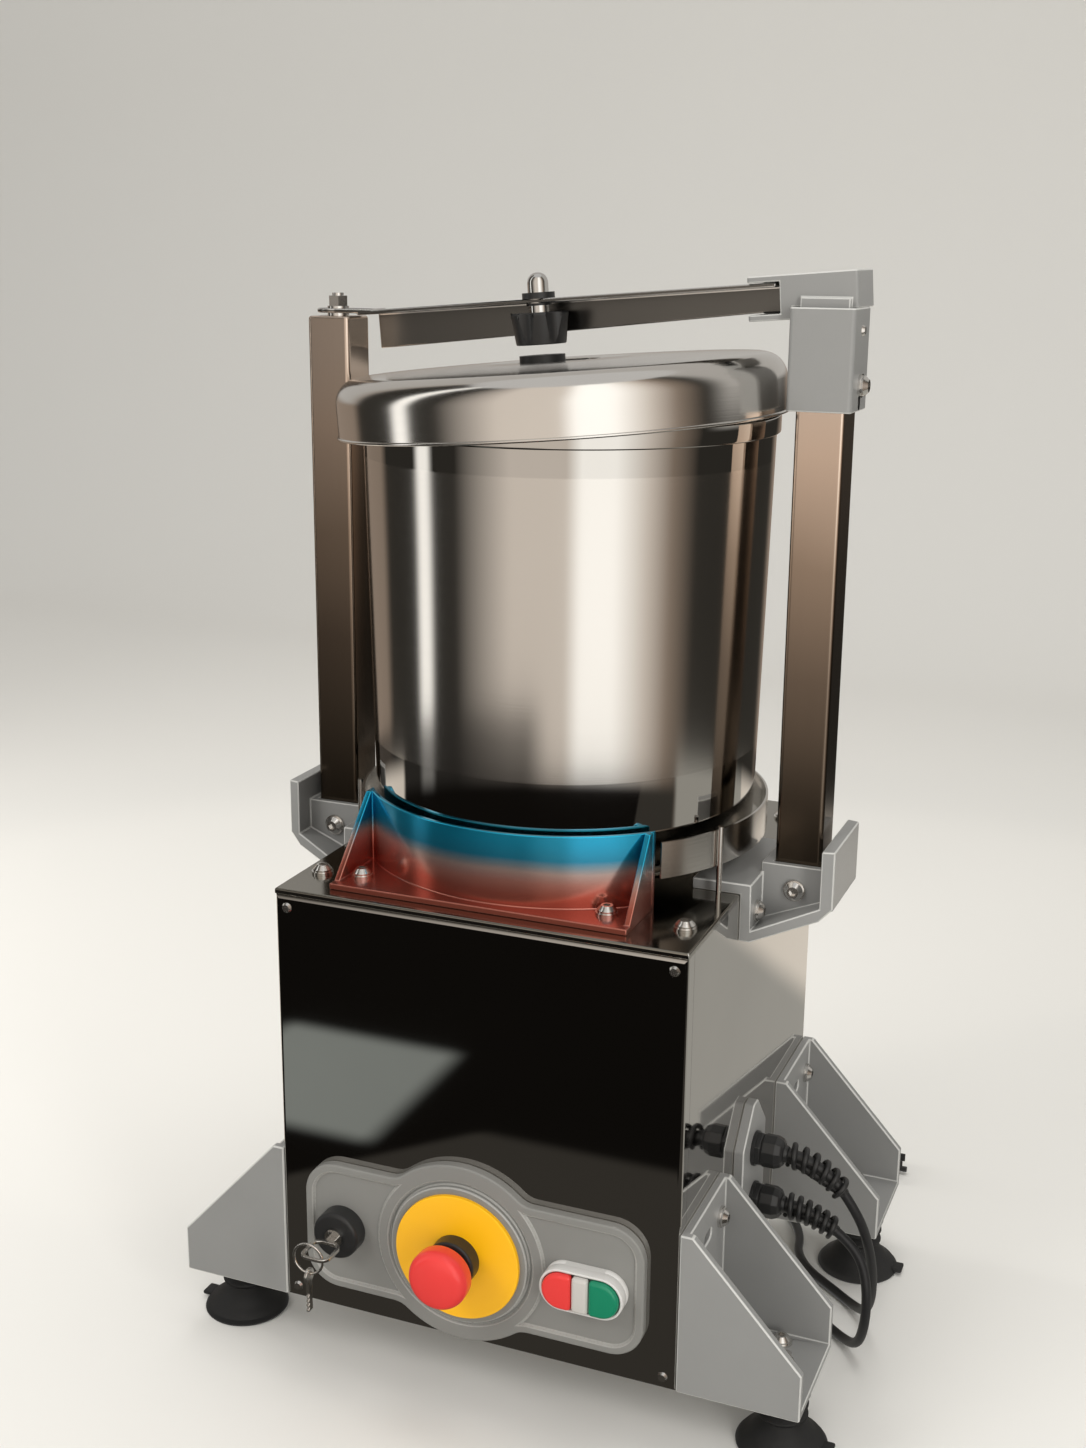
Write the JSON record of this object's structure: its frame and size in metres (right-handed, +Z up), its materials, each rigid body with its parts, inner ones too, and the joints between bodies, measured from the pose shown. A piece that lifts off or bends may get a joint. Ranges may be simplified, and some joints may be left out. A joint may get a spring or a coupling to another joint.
{
  "type": "tabletop stone melanger",
  "caption": "Tabletop stone melanger: a turning drum with roller stones under a swing-away pressure bar, on a boxed motor base with bracket feet, control plate and mains lead.",
  "frame": {"origin": "on the floor, under the middle of the machine's overall width and depth without its cords", "axes": "+X to the right along the control panel, +Y from the control panel to the back, +Z up"},
  "size_m": [0.4871, 0.4995, 0.7612],
  "materials": {
    "polished_steel": "mirror polished sheet",
    "brushed_steel": "brushed",
    "plain_steel": "satin",
    "bright_steel": "bright turned",
    "cast_grey": "blasted casting",
    "fence_finish": "polished sheet",
    "black_plastic": "moulded",
    "red_plastic": "gloss",
    "green_plastic": "gloss",
    "yellow_plastic": "satin",
    "clear_lens": "gloss",
    "granite": "speckled stone",
    "scraper_plastic": "satin",
    "foot_rubber": "matt",
    "cord_rubber": "satin",
    "connector_metal": "satin",
    "drive_metal": "painted"
  },
  "bodies": {
    "machine": {"aux_connector": "connector_metal", "aux_cord": "cord_rubber", "aux_cord_coil": "cord_rubber", "bar_catch": "cast_grey", "bearing_housing": "cast_grey", "button_bezel": "black_plastic", "cable_glands": "black_plastic", "catch_sleeve": "cast_grey", "control_plate": "cast_grey", "drive_belt": "foot_rubber", "entry_plate": "cast_grey", "estop_body": "black_plastic", "estop_disc": "yellow_plastic", "fasteners": "plain_steel", "fence_guard": "fence_finish", "floor_plate": "plain_steel", "foot_bracket_front_left": "cast_grey", "foot_bracket_front_right": "cast_grey", "foot_bracket_rear_left": "cast_grey", "foot_bracket_rear_right": "cast_grey", "front_panel": "polished_steel", "guard_band": "brushed_steel", "key_switch": "black_plastic", "mains_cord": "cord_rubber", "mains_cord_coil": "cord_rubber", "mains_plug": "black_plastic", "motor": "drive_metal", "pilot_lens": "clear_lens", "pivot_bolt": "plain_steel", "post_bracket_left": "cast_grey", "post_bracket_right": "cast_grey", "post_left": "brushed_steel", "post_right": "brushed_steel", "pressure_post": "bright_steel", "rubber_feet": "foot_rubber", "scraper": "scraper_plastic", "shaft_bearings": "plain_steel", "side_shell": "polished_steel", "stone_yoke": "plain_steel", "top_plate": "brushed_steel"},
    "drum_body": {"drum": "brushed_steel", "granite_base": "granite", "drum_shaft": "plain_steel", "drum_pulley": "drive_metal"},
    "motor_rotor": {"motor_pulley": "drive_metal"},
    "stone_left": {"roller_stone_left": "granite"},
    "stone_right": {"roller_stone_right": "granite"},
    "lid_body": {"lid": "brushed_steel"},
    "bar_body": {"crossbar": "brushed_steel", "screw_bush": "black_plastic"},
    "screw_body": {"tension_screw": "bright_steel"},
    "knob_body": {"pressure_knob": "black_plastic"},
    "estop_slide": {"estop_plunger": "black_plastic"},
    "estop_cap": {"estop_head": "red_plastic"},
    "key_body": {"key": "bright_steel", "lock_cylinder": "bright_steel"},
    "ring_body": {"key_ring": "bright_steel"},
    "spare_key_body": {"spare_key": "bright_steel"},
    "start_body": {"start_button": "green_plastic"},
    "stop_body": {"stop_button": "red_plastic"}
  },
  "joints": [
    {"name": "drum_spin", "type": "hinge", "parent": "machine", "child": "drum_body", "pos_m": [0, 0.0245, 0.372], "axis": [0, 0, 1], "continuous": true},
    {"name": "motor_spin", "type": "hinge", "parent": "machine", "child": "motor_rotor", "pos_m": [-0.075, 0.1125, 0.215], "axis": [0, 0, 1], "continuous": true},
    {"name": "stone_right_spin", "type": "hinge", "parent": "machine", "child": "stone_right", "pos_m": [0.062, 0.0245, 0.4493], "axis": [1, 0, 0], "continuous": true},
    {"name": "stone_left_spin", "type": "hinge", "parent": "machine", "child": "stone_left", "pos_m": [-0.062, 0.0245, 0.4493], "axis": [1, 0, 0], "continuous": true},
    {"name": "lid_lift", "type": "slide", "parent": "machine", "child": "lid_body", "axis": [-0.0802, 0, 0.9968], "range_m": [0, 0.008]},
    {"name": "bar_swing", "type": "hinge", "parent": "machine", "child": "bar_body", "pos_m": [-0.175, 0.0245, 0.728], "axis": [0, 0, 1], "range_deg": [-110, 0]},
    {"name": "screw_travel", "type": "slide", "parent": "bar_body", "child": "screw_body", "axis": [-0.0802, 0, 0.9968], "range_m": [-0.0065, 0.002]},
    {"name": "knob_turn", "type": "hinge", "parent": "screw_body", "child": "knob_body", "pos_m": [-0.02173, 0.0245, 0.71943], "axis": [-0.0802, 0, 0.9968], "range_deg": [-1170, 360]},
    {"name": "estop_press", "type": "slide", "parent": "machine", "child": "estop_slide", "axis": [0, 1, 0], "range_m": [0, 0.006]},
    {"name": "estop_twist", "type": "hinge", "parent": "estop_slide", "child": "estop_cap", "pos_m": [-0.007, -0.1755, 0.119], "axis": [0, 1, 0], "range_deg": [0, 45], "stiffness_Nm_per_rad": 0.05},
    {"name": "key_turn", "type": "hinge", "parent": "machine", "child": "key_body", "pos_m": [-0.096, -0.1565, 0.117], "axis": [0, 1, 0], "range_deg": [0, 90]},
    {"name": "key_ring_swing", "type": "hinge", "parent": "key_body", "child": "ring_body", "pos_m": [-0.1058, -0.1735, 0.117], "axis": [0, 1, 0], "range_deg": [-30, 30]},
    {"name": "spare_key_swing", "type": "hinge", "parent": "ring_body", "child": "spare_key_body", "pos_m": [-0.1058, -0.1735, 0.09783], "axis": [1, 0, 0], "range_deg": [-25, 25]},
    {"name": "start_press", "type": "slide", "parent": "machine", "child": "start_body", "axis": [0, 1, 0], "range_m": [0, 0.003], "stiffness_N_per_m": 400},
    {"name": "stop_press", "type": "slide", "parent": "machine", "child": "stop_body", "axis": [0, 1, 0], "range_m": [0, 0.003], "stiffness_N_per_m": 400}
  ],
  "couplings": [
    {"joint": "motor_spin", "follows": "drum_spin", "ratio": 2.7544},
    {"joint": "stone_right_spin", "follows": "drum_spin", "ratio": 1.3778},
    {"joint": "stone_left_spin", "follows": "drum_spin", "ratio": -1.3778},
    {"joint": "knob_turn", "follows": "screw_travel", "rad_per_m": 3141.6}
  ]
}
